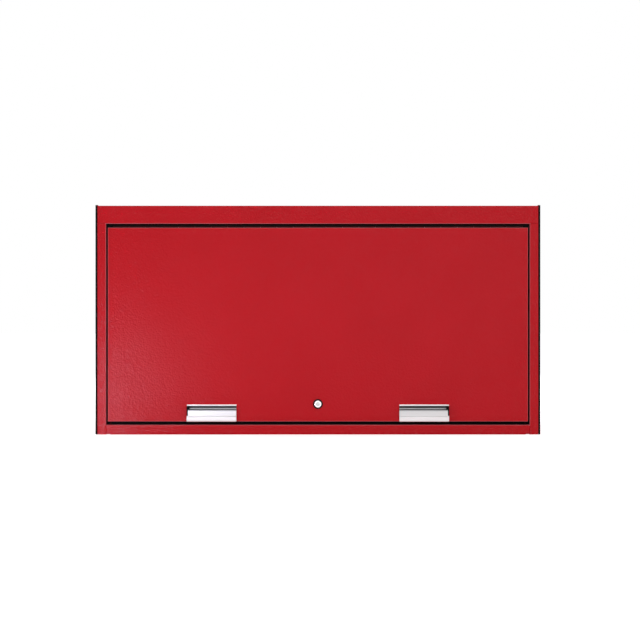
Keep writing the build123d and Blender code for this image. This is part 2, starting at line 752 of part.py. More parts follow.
def strut_tube():
    """Return the strut's cylinder, closed at its base, in the strut's own frame."""
    tube = extrude(Circle(TUBE_RADIUS), amount=tube_end - SOCKET_NECK_LENGTH)
    tube = fillet(tube.edges().group_by(Axis.Z)[0], TUBE_WALL)
    bore_length = tube_end - SOCKET_NECK_LENGTH - TUBE_BASE + OVERRUN
    tube -= rod_along((0, 0, 1), (0, 0, TUBE_BASE), TUBE_RADIUS - TUBE_WALL, bore_length)
    return Pos(0, 0, SOCKET_NECK_LENGTH) * tube


def strut_gland():
    """Return the gland at the tube's mouth, which guides the rod."""
    section = Circle(TUBE_RADIUS - TUBE_WALL - FIT_GAP) - Circle(ROD_RADIUS + ROD_CLEARANCE)
    return Pos(0, 0, tube_end - GLAND_LENGTH) * extrude(section, amount=GLAND_LENGTH)


def strut_rod():
    """Return the rod with its piston, in the strut's own frame seen from the door."""
    piston_start = rod_length - PISTON_LENGTH
    rod = rod_along((0, 0, 1), (0, 0, SOCKET_NECK_LENGTH), ROD_RADIUS, piston_start - SOCKET_NECK_LENGTH)
    piston_radius = TUBE_RADIUS - TUBE_WALL - PISTON_CLEARANCE
    return rod + rod_along((0, 0, 1), (0, 0, piston_start), piston_radius, PISTON_LENGTH)


def ball_stud(centre, side):
    """Return a ball stud whose shank runs to the given side: neck, hexagon collar and riveted tail."""
    collar_start = STUD_LENGTH - STUD_COLLAR_DEPTH
    stud = ball_on_stem(BALL_RADIUS, STUD_NECK_RADIUS, collar_start)
    stud += Pos(0, 0, collar_start) * extrude(hexagon(STUD_COLLAR_FLATS), amount=STUD_COLLAR_DEPTH)
    stud += rod_along((0, 0, 1), (0, 0, STUD_LENGTH), STUD_SHANK_RADIUS, BRACKET_SHEET + STUD_TAIL)
    return Plane(origin=centre, z_dir=(side, 0, 0)) * stud


def wall_stud():
    """Return the right strut's stud on the wall bracket."""
    return ball_stud((strut_x, wall_ball_y, wall_ball_z), 1)


def door_stud():
    """Return the right strut's stud on the door bracket."""
    return ball_stud((strut_x, door_ball_y, door_ball_z), -1)


def stud_hole(centre, side):
    """Return the hole in a bracket for a stud's shank."""
    start = Vector(*centre) + Vector(side, 0, 0) * (STUD_LENGTH - OVERRUN)
    return rod_along((side, 0, 0), start, STUD_SHANK_RADIUS + FIT_GAP, BRACKET_SHEET + 2 * OVERRUN)


def wall_bracket():
    """Return the hat bracket welded to the right wall, which holds the strut out past the stop."""
    face_x = strut_x + STUD_LENGTH
    foot_x = wall_inner - BRACKET_SHEET
    face_half = WALL_BRACKET_FACE / 2
    heel = face_half + WALL_BRACKET_SPLAY
    toe = heel + WALL_BRACKET_FOOT
    points = [
        (foot_x, -toe),
        (foot_x, -heel),
        (face_x, -face_half),
        (face_x, face_half),
        (foot_x, heel),
        (foot_x, toe),
    ]
    section = bent_sheet(points, Side.RIGHT, BRACKET_SHEET, BRACKET_BEND)
    bracket = extrude(section, amount=WALL_BRACKET_HEIGHT / 2, both=True)
    return Pos(0, wall_ball_y, wall_ball_z) * bracket - stud_hole((strut_x, wall_ball_y, wall_ball_z), 1)


def door_bracket_screw_points():
    """Return the seats of the screws on the right door bracket's foot."""
    x = strut_x - STUD_LENGTH - BRACKET_SHEET - DOOR_BRACKET_FOOT / 2
    offsets = (-BRACKET_HOLE_SPACING / 2, BRACKET_HOLE_SPACING / 2)
    return [(x, door_back + BRACKET_SHEET, door_ball_z + offset_z) for offset_z in offsets]


def both_door_bracket_screw_points():
    """Return the screw seats of both door brackets."""
    return [(side * x, y, z) for side in (-1, 1) for x, y, z in door_bracket_screw_points()]


def door_bracket():
    """Return the angle bracket that carries the right strut on the door."""
    web_x = strut_x - STUD_LENGTH
    points = [
        (web_x - DOOR_BRACKET_FOOT, door_back),
        (web_x, door_back),
        (web_x, door_ball_y + DOOR_BRACKET_TIP),
    ]
    section = bent_sheet(points, Side.LEFT, BRACKET_SHEET, BRACKET_BEND)
    bracket = extrude(section, amount=DOOR_BRACKET_HEIGHT / 2, both=True)
    bracket = Pos(0, 0, door_ball_z) * bracket
    tip_edges = bracket.edges().filter_by(Axis.X).group_by(Axis.Y)[-1]
    bracket = fillet(tip_edges, DOOR_BRACKET_TIP)
    bracket -= stud_hole((strut_x, door_ball_y, door_ball_z), -1)
    for point in door_bracket_screw_points():
        bracket -= screw_hole(point, (0, -1, 0), BRACKET_SHEET + OVERRUN)
    return bracket


# Every piece by its name, the paired ones from one form
def paired(name, right):
    """Return the left and right nodes of a piece that comes as a mirrored pair."""
    return {"right_" + name: right, "left_" + name: mirror(right, about=Plane.YZ)}


wall_frame = strut_plane(True)
door_frame = strut_plane(False)
back_grip = 2 * SHEET + SCREW_TAIL
pull_grip = SHEET + PULL_WALL * PULL_SCREW_BITE_SHARE - SCREW_CLEARANCE
bracket_grip = BRACKET_SHEET + INNER_SHEET + SCREW_TAIL
bracket_seats = both_door_bracket_screw_points()

pieces = {
    "top_panel": drill_back_screws(top_panel()),
    "floor_panel": drill_back_screws(floor_panel()),
    "back_panel": back_panel(),
    "sill_rail": sill_rail(),
    "hinge_rail": hinge_rail(),
    "top_stiffeners": top_stiffeners(),
    "cable_grommets": cable_grommets(),
    "back_panel_screws": [screw(point, (0, -1, 0), back_grip) for point in back_screw_points()],
    "sill_seal": sill_seal(),
    "header_seal": header_seal(),
    "hinge_frame_leaf": hinge_leaf(1, 0),
    "hinge_door_leaf": hinge_leaf(-1, 1),
    "hinge_pin": hinge_pin(),
    "door_skin": door_skin(),
    "door_inner_panel": door_inner_panel(),
    "door_stiffeners": door_stiffeners(),
    "pull_screws": [screw(point, (0, -1, 0), pull_grip) for point in pull_screw_points()],
    "lock_housing": lock_housing(),
    "lock_trim_ring": lock_trim_ring(),
    "lock_nut": lock_nut(),
    "lock_plug": lock_plug(),
    "lock_cam": lock_cam(),
    "lock_cam_nut": lock_cam_nut(),
    "strut_wall_studs": both_sides(wall_stud()).solids(),
    "strut_door_studs": both_sides(door_stud()).solids(),
    "door_bracket_screws": [screw(point, (0, -1, 0), bracket_grip) for point in bracket_seats],
}
pieces.update(paired("side_panel", drill_back_screws(side_panel())))
pieces.update(paired("corner_strip", corner_strip()))
pieces.update(paired("side_seal", side_seal()))
pieces.update(paired("pull", right_pull()))
pieces.update(paired("pull_end_cap", right_end_cap()))
pieces.update(paired("strut_wall_bracket", wall_bracket()))
pieces.update(paired("strut_door_bracket", door_bracket()))
pieces.update(paired("strut_tube", wall_frame * strut_tube()))
pieces.update(paired("strut_gland", wall_frame * strut_gland()))
pieces.update(paired("strut_tube_socket", wall_frame * ball_socket(1)))
pieces.update(paired("strut_rod", door_frame * strut_rod()))
pieces.update(paired("strut_rod_socket", door_frame * ball_socket(-1)))

os.makedirs("parts", exist_ok=True)
for name, piece in pieces.items():
    group = piece if isinstance(piece, list) else [piece]
    solids = [solid for member in group for solid in member.solids()]
    export_step(solids[0] if len(solids) == 1 else Compound(solids), os.path.join("parts", name + ".step"))

print("hinge axis y %.3f z %.3f" % (axis_y, axis_z))
print("door ball y %.4f z %.4f, wall ball y %.4f z %.4f, shut strut %.2f"
      % (door_ball_y, door_ball_z, wall_ball_y, wall_ball_z, shut_length))
print("strut plane x %.3f, lock z %.3f, door back y %.3f" % (strut_x, lock_z, door_back))
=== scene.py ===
"""Visual model of a tool chest hutch: a red sheet steel cabinet with one lift-up door."""

from __future__ import annotations

import json
import logging
import math
from collections.abc import Sequence
from dataclasses import dataclass, field
from enum import Enum

import bpy
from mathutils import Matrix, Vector


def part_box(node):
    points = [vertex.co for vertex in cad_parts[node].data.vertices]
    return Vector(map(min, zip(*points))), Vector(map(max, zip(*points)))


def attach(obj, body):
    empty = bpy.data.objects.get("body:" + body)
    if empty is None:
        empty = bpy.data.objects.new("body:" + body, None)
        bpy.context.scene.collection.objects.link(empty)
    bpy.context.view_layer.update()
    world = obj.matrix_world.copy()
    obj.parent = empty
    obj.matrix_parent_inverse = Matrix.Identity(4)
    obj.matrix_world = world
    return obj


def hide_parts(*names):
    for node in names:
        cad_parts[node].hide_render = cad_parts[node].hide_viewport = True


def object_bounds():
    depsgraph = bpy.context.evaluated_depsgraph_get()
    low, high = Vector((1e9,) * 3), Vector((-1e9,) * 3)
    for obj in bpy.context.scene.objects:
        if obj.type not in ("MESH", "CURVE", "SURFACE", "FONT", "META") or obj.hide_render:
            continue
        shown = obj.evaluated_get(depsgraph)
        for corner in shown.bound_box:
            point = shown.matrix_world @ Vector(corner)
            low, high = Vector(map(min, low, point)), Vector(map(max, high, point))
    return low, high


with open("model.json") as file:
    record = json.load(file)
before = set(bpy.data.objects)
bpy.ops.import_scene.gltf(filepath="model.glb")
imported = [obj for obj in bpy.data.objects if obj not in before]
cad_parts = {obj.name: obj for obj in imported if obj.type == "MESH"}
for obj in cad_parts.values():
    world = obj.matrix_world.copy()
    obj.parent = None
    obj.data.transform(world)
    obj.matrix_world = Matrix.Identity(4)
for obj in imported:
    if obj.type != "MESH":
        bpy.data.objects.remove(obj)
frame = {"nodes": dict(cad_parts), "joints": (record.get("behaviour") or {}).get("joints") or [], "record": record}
cad_low, cad_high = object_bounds()

Triple = tuple[float, float, float]
Pair = tuple[float, float]
Socket = bpy.types.NodeSocket

MM = 0.001
FULL_TURN = 2 * math.pi
DOUBLE_GAP = 0.005 * MM
FINE_DETAIL = 3.0
NOISE_LOW = 0.3
NOISE_HIGH = 0.7
DOOR_MIDDLE: Triple = (0, -0.28, 0.35)

log = logging.getLogger("hutch")


class Slot(Enum):
    """The record's material slots."""

    RED_COAT = "red_powder_coat"
    RUBBER = "black_rubber"
    BLACK_STEEL = "black_steel"
    BARE_STEEL = "bare_steel"
    ZINC = "zinc_steel"
    ALUMINIUM = "pull_aluminium"
    PLASTIC = "black_plastic"
    LOCK_CHROME = "lock_chrome"
    ROD_CHROME = "rod_chrome"


class Side(Enum):
    """The two mirrored sides of the hutch, by the sign of X."""

    LEFT = -1
    RIGHT = 1

    @property
    def word(self) -> str:
        """Return the side's name as the nodes spell it."""
        return self.name.lower()


class NodeGraph:
    """A node tree, with short calls to add and link its nodes."""

    def __init__(self, tree: bpy.types.NodeTree) -> None:
        """Take the tree."""
        self.tree = tree

    def node(
        self, kind: str, *sources: Socket, operation: str | None = None, **values: object
    ) -> bpy.types.Node:
        """Add a node.

        Args:
            kind: Its type.
            *sources: The patterns that are linked to its first inputs, in order.
            operation: What a math node does.
            **values: Fixed values of its other inputs.

        Returns:
            The node.
        """
        node = self.tree.nodes.new(kind)
        if operation:
            node.operation = operation
        for source, target in zip(sources, node.inputs):
            self.tree.links.new(source, target)
        for name, value in values.items():
            node.inputs[name].default_value = value
        return node

    def span(
        self, value: Socket, ends: Pair, start: float = NOISE_LOW, stop: float = NOISE_HIGH
    ) -> Socket:
        """Return a pattern spread between two ends.

        Args:
            value: The pattern.
            ends: What it becomes at its start and at its stop.
            start: The pattern's value at the first end.
            stop: The pattern's value at the second end.

        Returns:
            The spread pattern.
        """
        names = ("From Min", "From Max", "To Min", "To Max")
        values = dict(zip(names, (start, stop, *ends)))
        return self.node("ShaderNodeMapRange", value, **values).outputs["Result"]

    def largest(self, *patterns: Socket) -> Socket:
        """Return the largest of several patterns.

        Args:
            *patterns: The patterns.

        Returns:
            The largest one at each place.
        """
        most = patterns[0]
        for pattern in patterns[1:]:
            larger = self.node("ShaderNodeMath", most, pattern, operation="MAXIMUM")
            most = larger.outputs["Value"]
        return most

    def seen(self, unseen: float, seen: float) -> Socket:
        """Return one value for light on surfaces and another for what is seen or mirrored.

        Args:
            unseen: The value for light on surfaces.
            seen: The value for camera, glossy and transmission rays.

        Returns:
            The value.
        """
        path = self.node("ShaderNodeLightPath")
        kinds = ("Is Camera Ray", "Is Glossy Ray", "Is Transmission Ray")
        rays = [path.outputs[kind] for kind in kinds]
        return self.span(self.largest(*rays), (unseen, seen), 0.0, 1.0)


class ShaderGraph(NodeGraph):
    """A node material, with short calls for the patterns that the finishes share."""

    def __init__(self, name: str) -> None:
        """Start a material that holds a shader and reads Object coordinates.

        Args:
            name: The material's name.
        """
        self.material = bpy.data.materials.new(name)
        self.material.use_nodes = True
        super().__init__(self.material.node_tree)
        self.shader = self.tree.nodes["Principled BSDF"]
        self.place = self.node("ShaderNodeTexCoord").outputs["Object"]

    def constants(self, **values: float) -> None:
        """Set the shader's own values, named with underscores for spaces."""
        for name, value in values.items():
            self.shader.inputs[name.replace("_", " ")].default_value = value

    def drive(self, socket: str, source: Socket) -> None:
        """Link a pattern to one of the shader's sockets."""
        self.tree.links.new(source, self.shader.inputs[socket])

    def stretched(self, scale: Triple) -> Socket:
        """Return Object coordinates scaled apart on X, Y and Z."""
        return self.node("ShaderNodeMapping", self.place, Scale=scale).outputs["Vector"]

    def noise(self, scale: float, detail: float = 2.0, place: Socket | None = None) -> Socket:
        """Return noise, scaled in waves to a metre, on Object coordinates or on another place."""
        source = place or self.place
        return self.node("ShaderNodeTexNoise", source, Scale=scale, Detail=detail).outputs["Fac"]

    def ramp(self, value: Socket, stops: Sequence[tuple[float, Triple]]) -> Socket:
        """Return a colour that runs through several shades.

        Args:
            value: The pattern that it follows, from 0 to 1.
            stops: The pattern's value and the shade at each stop.

        Returns:
            The colour.
        """
        node = self.node("ShaderNodeValToRGB", value)
        elements = node.color_ramp.elements
        elements[0].position = stops[0][0]
        elements[1].position = stops[-1][0]
        for place, _ in stops[1:-1]:
            elements.new(place)
        for element, (_, shade) in zip(elements, stops):
            element.color = (*shade, 1.0)
        return node.outputs["Color"]

    def tint(self, noise: Socket, first: Triple, second: Triple) -> Socket:
        """Return a colour that runs with a noise pattern from one shade to another."""
        return self.ramp(noise, ((NOISE_LOW, first), (NOISE_HIGH, second)))

    def bands(self, value: Socket, tones: Sequence[Pair]) -> Socket:
        """Return a grey that runs through tones, each with its place on the pattern."""
        return self.ramp(value, [(place, (tone, tone, tone)) for place, tone in tones])

    def distance(self, centre: Vector, axis: Vector) -> Socket:
        """Return the distance from an axis.

        Args:
            centre: A point on the axis.
            axis: The axis's direction, along X, Y or Z.

        Returns:
            The distance in metres.
        """
        across = Vector((1, 1, 1)) - axis
        start = -centre * across
        mapping = self.node("ShaderNodeMapping", self.place, Location=start, Scale=across)
        place = mapping.outputs["Vector"]
        return self.node("ShaderNodeVectorMath", place, operation="LENGTH").outputs["Value"]

    def product(self, first: Socket, second: Socket) -> Socket:
        """Return two patterns multiplied."""
        node = self.node("ShaderNodeVectorMath", first, second, operation="MULTIPLY")
        return node.outputs["Vector"]

    def over(self, share: Socket, under: Socket, shade: Triple) -> Socket:
        """Return a colour with a share of one shade laid over it."""
        node = self.node("ShaderNodeMixRGB", share, under, Color2=(*shade, 1.0))
        return node.outputs["Color"]

    def axis(self, letter: str) -> Socket:
        """Return one Object coordinate: X, Y or Z."""
        return self.node("ShaderNodeSeparateXYZ", self.place).outputs[letter]

    def bends(self) -> Socket:
        """Return how far a face turns from the nearest axis.

        Returns:
            The pattern: 0 on flat panels, and most at mid bend.
        """
        normal = self.place.node.outputs["Normal"]
        size = self.node("ShaderNodeVectorMath", normal, operation="ABSOLUTE")
        parts = self.node("ShaderNodeSeparateXYZ", size.outputs["Vector"])
        return self.span(self.largest(*parts.outputs), (1.0, 0.0), 0.0, 1.0)

    def within(self, letter: str, start: float, stop: float) -> Socket:
        """Return 1 between two places on an axis and 0 past them.

        Args:
            letter: The axis: X, Y or Z.
            start: The first place.
            stop: The last place.

        Returns:
            The pattern.
        """
        node = self.node("ShaderNodeMath", self.axis(letter), operation="COMPARE")
        node.inputs[1].default_value = (start + stop) / 2
        node.inputs[2].default_value = (stop - start) / 2
        return node.outputs["Value"]

    def bump(self, height: Socket, strength: float, depth: float) -> None:
        """Raise the surface by a pattern.

        Args:
            height: The pattern.
            strength: How much of it shows.
            depth: The pattern's height in metres.
        """
        node = self.node("ShaderNodeBump", Strength=strength, Distance=depth)
        self.tree.links.new(height, node.inputs["Height"])
        self.drive("Normal", node.outputs["Normal"])


@dataclass(frozen=True)
class PowderCoat:
    """Fine textured red powder coat, half gloss, with a painted highlight: a paler red over the bends round the
    door.
    """

    slot: Slot = Slot.RED_COAT
    deep: Triple = (0.447, 0.0014, 0.0072)
    bright: Triple = (0.467, 0.0022, 0.0088)
    # Painted highlight: the paler red laid over the bends round the door opening, standing in for the light that
    # those bends catch.
    thin: Triple = (0.50, 0.11, 0.127)
    # How far a face turns before the painted bend highlight starts, and where it is full.
    bends: Pair = (0.01, 0.12)
    margin: float = 3.2 * MM
    grain: float = 205.0
    cloud: float = 5.0
    roughness: Pair = (0.17, 0.25)
    gloss: float = 0.16
    strength: float = 1.0
    depth: float = 1.1 * MM

    def build(self) -> bpy.types.Material:
        """Make the material.

        Returns:
            The material.
        """
        graph = ShaderGraph(self.slot.value)
        grain = graph.noise(self.grain, FINE_DETAIL)
        graph.constants(Specular_IOR_Level=self.gloss)
        shade = graph.tint(graph.noise(self.cloud), self.deep, self.bright)
        bends = graph.span(graph.bends(), (0.0, 1.0), *self.bends)
        low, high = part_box("right_side_seal")
        for letter, start, stop in (("X", -high.x, high.x), ("Z", low.z, high.z)):
            opening = graph.within(letter, start - self.margin, stop + self.margin)
            bends = graph.product(bends, opening)
        # Painted highlight: lay the paler red over the bends near the door opening.
        graph.drive("Base Color", graph.over(bends, shade, self.thin))
        graph.drive("Roughness", graph.span(grain, self.roughness))
        graph.bump(grain, self.strength, self.depth)
        return graph.material


@dataclass(frozen=True)
class BlackCompound:
    """A black rubber, plastic or paint: dark, with a fine grain."""

    slot: Slot
    dark: Triple
    light: Triple
    grain: float
    roughness: Pair
    strength: float
    gloss: float = 0.12
    depth: float = 0.15 * MM
    patch: float = 6.0

    def build(self) -> bpy.types.Material:
        """Make the material.

        Returns:
            The material.
        """
        graph = ShaderGraph(self.slot.value)
        grain = graph.noise(self.grain, FINE_DETAIL)
        graph.constants(Specular_IOR_Level=self.gloss)
        graph.drive("Base Color", graph.tint(grain, self.dark, self.light))
        patches = graph.noise(self.grain / self.patch)
        graph.drive("Roughness", graph.span(patches, self.roughness))
        graph.bump(grain, self.strength, self.depth)
        return graph.material


@dataclass(frozen=True)
class WorkedMetal:
    """A bare or plated metal with the streaks of its working."""

    slot: Slot
    dark: Triple
    light: Triple
    streak: Triple
    roughness: Pair
    strength: float
    anisotropy: float = 0.0
    depth: float = 0.05 * MM

    def shade(self, graph: ShaderGraph, streaks: Socket) -> Socket:
        """Return the metal's colour from its streaks."""
        return graph.tint(streaks, self.dark, self.light)

    def build(self) -> bpy.types.Material:
        """Make the material.

        Returns:
            The material.
        """
        graph = ShaderGraph(self.slot.value)
        streaks = graph.noise(1.0, FINE_DETAIL, graph.stretched(self.streak))
        graph.constants(Metallic=1.0, Anisotropic=self.anisotropy)
        graph.drive("Base Color", self.shade(graph, streaks))
        graph.drive("Roughness", graph.span(streaks, self.roughness))
        graph.bump(streaks, self.strength, self.depth)
        return graph.material


@dataclass(frozen=True)
class PullMetal(WorkedMetal):
    """Brushed extrusion, with light and shade painted into its colour by height: a painted highlight on its bead,
    and painted shade in its groove, towards the top of its face, at its lip roll and over its finger pocket.
    """

    # Painted light and shade by height in mm: painted shade at the groove, towards the top of the face, at the lip
    # roll and over the finger pocket, and a painted highlight on the bead.
    tones: tuple[Pair, ...] = (
        (0.0, 0.84),
        (14.6, 0.82),
        (15.5, 0.58),
        (16.4, 0.72),
        (31.0, 0.68),
        (35.2, 0.42),
        (36.2, 0.14),
        (37.4, 0.06),
        (38.2, 0.44),
        (40.6, 0.44),
        (41.4, 0.05),
        (47.5, 0.05),
        (48.2, 1.0),
    )

    def shade(self, graph: ShaderGraph, streaks: Socket) -> Socket:
        """Return the metal's colour: its streaks, toned by the height on the pull with a painted highlight and
        painted shade.

        Args:
            graph: The material's nodes.
            streaks: The brushed pattern.

        Returns:
            The colour.
        """
        low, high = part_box("right_pull")
        height = high.z - low.z
        rise = graph.span(graph.axis("Z"), (0.0, 1.0), low.z, high.z)
        stops = [(up * MM / height, tone) for up, tone in self.tones]
        return graph.product(super().shade(graph, streaks), graph.bands(rise, stops))


@dataclass(frozen=True)
class LockMetal(WorkedMetal):
    """Bright plating, greyer on the plug that the key turns."""

    plug: float = 6.2 * MM
    edge: float = 0.3 * MM
    # The plug's tone: it multiplies the plating inside the plug's edge, so the plug is greyer than the bezel.
    worn: float = 0.62

    def shade(self, graph: ShaderGraph, streaks: Socket) -> Socket:
        """Return the plating's colour, darker inside the plug's edge.

        Args:
            graph: The material's nodes.
            streaks: The pattern of the plating.

        Returns:
            The colour.
        """
        low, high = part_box("lock_housing")
        reach = graph.distance((low + high) / 2, Vector((0, 1, 0)))
        inside = graph.span(reach, (0.0, 1.0), self.plug - self.edge, self.plug)
        plug_tint = graph.bands(inside, ((0.0, self.worn), (1.0, 1.0)))
        return graph.product(super().shade(graph, streaks), plug_tint)


class Paintbox:
    """Every finish of the hutch, each built once."""

    def __init__(self) -> None:
        """Build the materials."""
        finishes = (
            PowderCoat(),
            BlackCompound(
                Slot.RUBBER,
                dark=(0.0015, 0.0015, 0.0015),
                light=(0.004, 0.004, 0.004),
                grain=900.0,
                roughness=(0.62, 0.8),
                strength=0.25,
                gloss=0.06,
            ),
            BlackCompound(
                Slot.BLACK_STEEL,
                dark=(0.004, 0.004, 0.0045),
                light=(0.009, 0.009, 0.0095),
                grain=700.0,
                roughness=(0.3, 0.42),
                strength=0.12,
            ),
            BlackCompound(
                Slot.PLASTIC,
                dark=(0.002, 0.002, 0.002),
                light=(0.005, 0.005, 0.005),
                grain=1400.0,
                roughness=(0.45, 0.6),
                strength=0.2,
                gloss=0.04,
            ),
            WorkedMetal(
                Slot.BARE_STEEL,
                dark=(0.42, 0.42, 0.43),
                light=(0.6, 0.6, 0.61),
                streak=(900.0, 60.0, 900.0),
                roughness=(0.22, 0.4),
                strength=0.15,
            ),
            WorkedMetal(
                Slot.ZINC,
                dark=(0.5, 0.5, 0.5),
                light=(0.66, 0.66, 0.68),
                streak=(260.0, 260.0, 260.0),
                roughness=(0.25, 0.42),
                strength=0.12,
            ),
            PullMetal(
                Slot.ALUMINIUM,
                dark=(0.80, 0.80, 0.81),
                light=(0.90, 0.90, 0.91),
                streak=(8.0, 1600.0, 1600.0),
                roughness=(0.28, 0.42),
                strength=0.12,
                anisotropy=0.5,
            ),
            LockMetal(
                Slot.LOCK_CHROME,
                dark=(0.84, 0.84, 0.85),
                light=(0.92, 0.92, 0.93),
                streak=(420.0, 420.0, 420.0),
                roughness=(0.08, 0.2),
                strength=0.05,
            ),
            WorkedMetal(
                Slot.ROD_CHROME,
                dark=(0.68, 0.69, 0.71),
                light=(0.8, 0.81, 0.83),
                streak=(300.0, 300.0, 300.0),
                roughness=(0.07, 0.16),
                strength=0.04,
            ),
        )
        self.materials = {finish.slot: finish.build() for finish in finishes}

    def coat(self, obj: bpy.types.Object, slot: Slot) -> None:
        """Give a node or a modelled piece one finish all over."""
        obj.data.materials.clear()
        obj.data.materials.append(self.materials[slot])

    def coat_frame(self) -> None:
        """Give every node of the frame the finish that the record names for it."""
        for subpart in frame["record"]["subparts"]:
            slot = Slot(subpart["material_slot"])
            self.coat(frame["nodes"][subpart["node"]], slot)
            log.info("%s: %s", subpart["node"], slot.value)


class Workpiece:
    """One mesh, modelled with Blender's own operators."""

    def __init__(self, name: str) -> None:
        """Take the object that was just added.

        Args:
            name: The piece's name.
        """
        self.obj = bpy.context.object
        self.obj.name = name
        self.obj.data.name = name
        bpy.ops.object.transform_apply(location=True, rotation=True, scale=True)

    @staticmethod
    def clear() -> None:
        """Deselect every object."""
        bpy.ops.object.select_all(action="DESELECT")

    @classmethod
    def block(cls, name: str, low: Vector, high: Vector) -> Workpiece:
        """Add a box between two corners.

        Args:
            name: The piece's name.
            low: The lowest corner.
            high: The highest corner.

        Returns:
            The piece.
        """
        cls.clear()
        bpy.ops.mesh.primitive_cube_add(size=1.0, location=(low + high) / 2, scale=high - low)
        return cls(name)

    @classmethod
    def chain(cls, name: str, points: Sequence[Vector]) -> Workpiece:
        """Draw a line from point to point, one extruded vertex after another.

        Args:
            name: The piece's name.
            points: The line's points.

        Returns:
            The piece, in edit mode with all selected.
        """
        cls.clear()
        bpy.ops.mesh.primitive_plane_add(size=MM, location=points[0])
        piece = cls(name)
        bpy.ops.object.mode_set(mode="EDIT")
        bpy.ops.mesh.select_mode(type="VERT")
        bpy.ops.mesh.select_all(action="SELECT")
        bpy.ops.mesh.merge(type="CENTER")
        for before, after in zip(points, points[1:]):
            bpy.ops.mesh.extrude_region_move(TRANSFORM_OT_translate={"value": after - before})
        bpy.ops.mesh.select_all(action="SELECT")
        return piece

    @classmethod
    def extrusion(cls, name: str, points: Sequence[Vector], run: Vector) -> Workpiece:
        """Fill a drawn outline and extrude it.

        Args:
            name: The piece's name.
            points: The outline's points, in order.
            run: The extrusion's direction and length.

        Returns:
            The piece.
        """
        piece = cls.chain(name, points)
        bpy.ops.mesh.edge_face_add()
        bpy.ops.mesh.extrude_region_move(TRANSFORM_OT_translate={"value": run})
        return piece.closed()

    @classmethod
    def turned(
        cls, name: str, points: Sequence[Vector], centre: Vector, axis: Vector, steps: int = 48
    ) -> Workpiece:
        """Spin a drawn line round an axis.

        Args:
            name: The piece's name.
            points: The line's points, on one side of the axis.
            centre: A point on the axis.
            axis: The axis's direction.
            steps: How many steps the turn has.

        Returns:
            The piece.
        """
        piece = cls.chain(name, points)
        bpy.ops.mesh.spin(steps=steps, angle=FULL_TURN, center=centre, axis=axis)
        return piece.closed()

    def closed(self) -> Workpiece:
        """Merge doubles, turn the faces outwards and leave edit mode.

        Returns:
            The piece.
        """
        bpy.ops.mesh.select_all(action="SELECT")
        bpy.ops.mesh.remove_doubles(threshold=DOUBLE_GAP)
        bpy.ops.mesh.normals_make_consistent(inside=False)
        bpy.ops.object.mode_set(mode="OBJECT")
        return self

    def pick(self) -> None:
        """Make this the only selected object."""
        self.clear()
        self.obj.select_set(True)
        bpy.context.view_layer.objects.active = self.obj

    def modifier(self, kind: str, **settings: object) -> Workpiece:
        """Apply a modifier.

        Args:
            kind: The modifier's type.
            **settings: Its settings.

        Returns:
            The piece.
        """
        self.pick()
        added = self.obj.modifiers.new(kind, kind)
        for name, value in settings.items():
            setattr(added, name, value)
        bpy.ops.object.modifier_apply(modifier=added.name)
        return self

    def rounded(self, width: float, segments: int = 2, angle: float = 30.0) -> Workpiece:
        """Bevel the sharp edges.

        Args:
            width: The bevel's width.
            segments: How many steps it has.
            angle: The angle in degrees above which an edge is sharp.

        Returns:
            The piece.
        """
        return self.modifier(
            "BEVEL",
            width=width,
            segments=segments,
            limit_method="ANGLE",
            angle_limit=math.radians(angle),
            use_clamp_overlap=False,
        )

    def boolean(self, tool: Workpiece, operation: str) -> Workpiece:
        """Cut or join with another piece, which is used up.

        Args:
            tool: The other piece.
            operation: DIFFERENCE or UNION.

        Returns:
            The piece.
        """
        self.modifier("BOOLEAN", object=tool.obj, operation=operation, solver="EXACT")
        tool.drop()
        return self

    def drop(self) -> None:
        """Remove the piece, once it is used up or copied."""
        bpy.data.objects.remove(self.obj)

    def smooth(self, angle: float = 35.0) -> Workpiece:
        """Merge what the cuts left double, and shade the piece smooth.

        Args:
            angle: The angle in degrees above which an edge stays sharp.

        Returns:
            The piece.
        """
        self.pick()
        bpy.ops.object.mode_set(mode="EDIT")
        self.closed()
        bpy.ops.object.shade_smooth_by_angle(angle=math.radians(angle))
        return self

    def copy(self, name: str, offset: Vector) -> Workpiece:
        """Copy the piece to another place, with a mesh of its own.

        Args:
            name: The copy's name.
            offset: How far it moves.

        Returns:
            The copy.
        """
        self.pick()
        bpy.ops.object.duplicate(linked=False)
        bpy.ops.transform.translate(value=offset)
        return Workpiece(name)

    def mirrored(self, name: str) -> Workpiece:
        """Copy the piece to the other side of the hutch.

        Args:
            name: The copy's name.

        Returns:
            The copy, with its faces turned outwards and shaded smooth.
        """
        self.pick()
        bpy.ops.object.duplicate(linked=False)
        bpy.context.object.scale.x = -1.0
        return Workpiece(name).smooth()

    def fit(self, paint: Paintbox, slot: Slot, body: str, *nodes: str) -> Workpiece:
        """Dress the piece and set it on its body.

        Args:
            paint: The finishes.
            slot: The piece's finish.
            body: The body that it rides.
            *nodes: The nodes that it replaces.

        Returns:
            The piece.
        """
        paint.coat(self.obj, slot)
        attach(self.obj, body)
        if nodes:
            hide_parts(*nodes)
        log.info("%s: %s on %s", self.obj.name, slot.value, body)
        return self


def evenly(first: float, last: float, count: int) -> list[float]:
    """Return evenly spaced values from the first to the last, both included."""
    return [first + (last - first) * i / (count - 1) for i in range(count)]


def arc(centre: Pair, radius: float, start: float, stop: float, steps: int) -> list[Pair]:
    """Return points along an arc.

    Args:
        centre: The arc's centre.
        radius: Its radius.
        start: Its first angle in degrees.
        stop: Its last angle in degrees.
        steps: How many steps it has.

    Returns:
        The points, both ends included.
    """
    angles = [math.radians(angle) for angle in evenly(start, stop, steps + 1)]
    return [(centre[0] + radius * math.cos(a), centre[1] + radius * math.sin(a)) for a in angles]


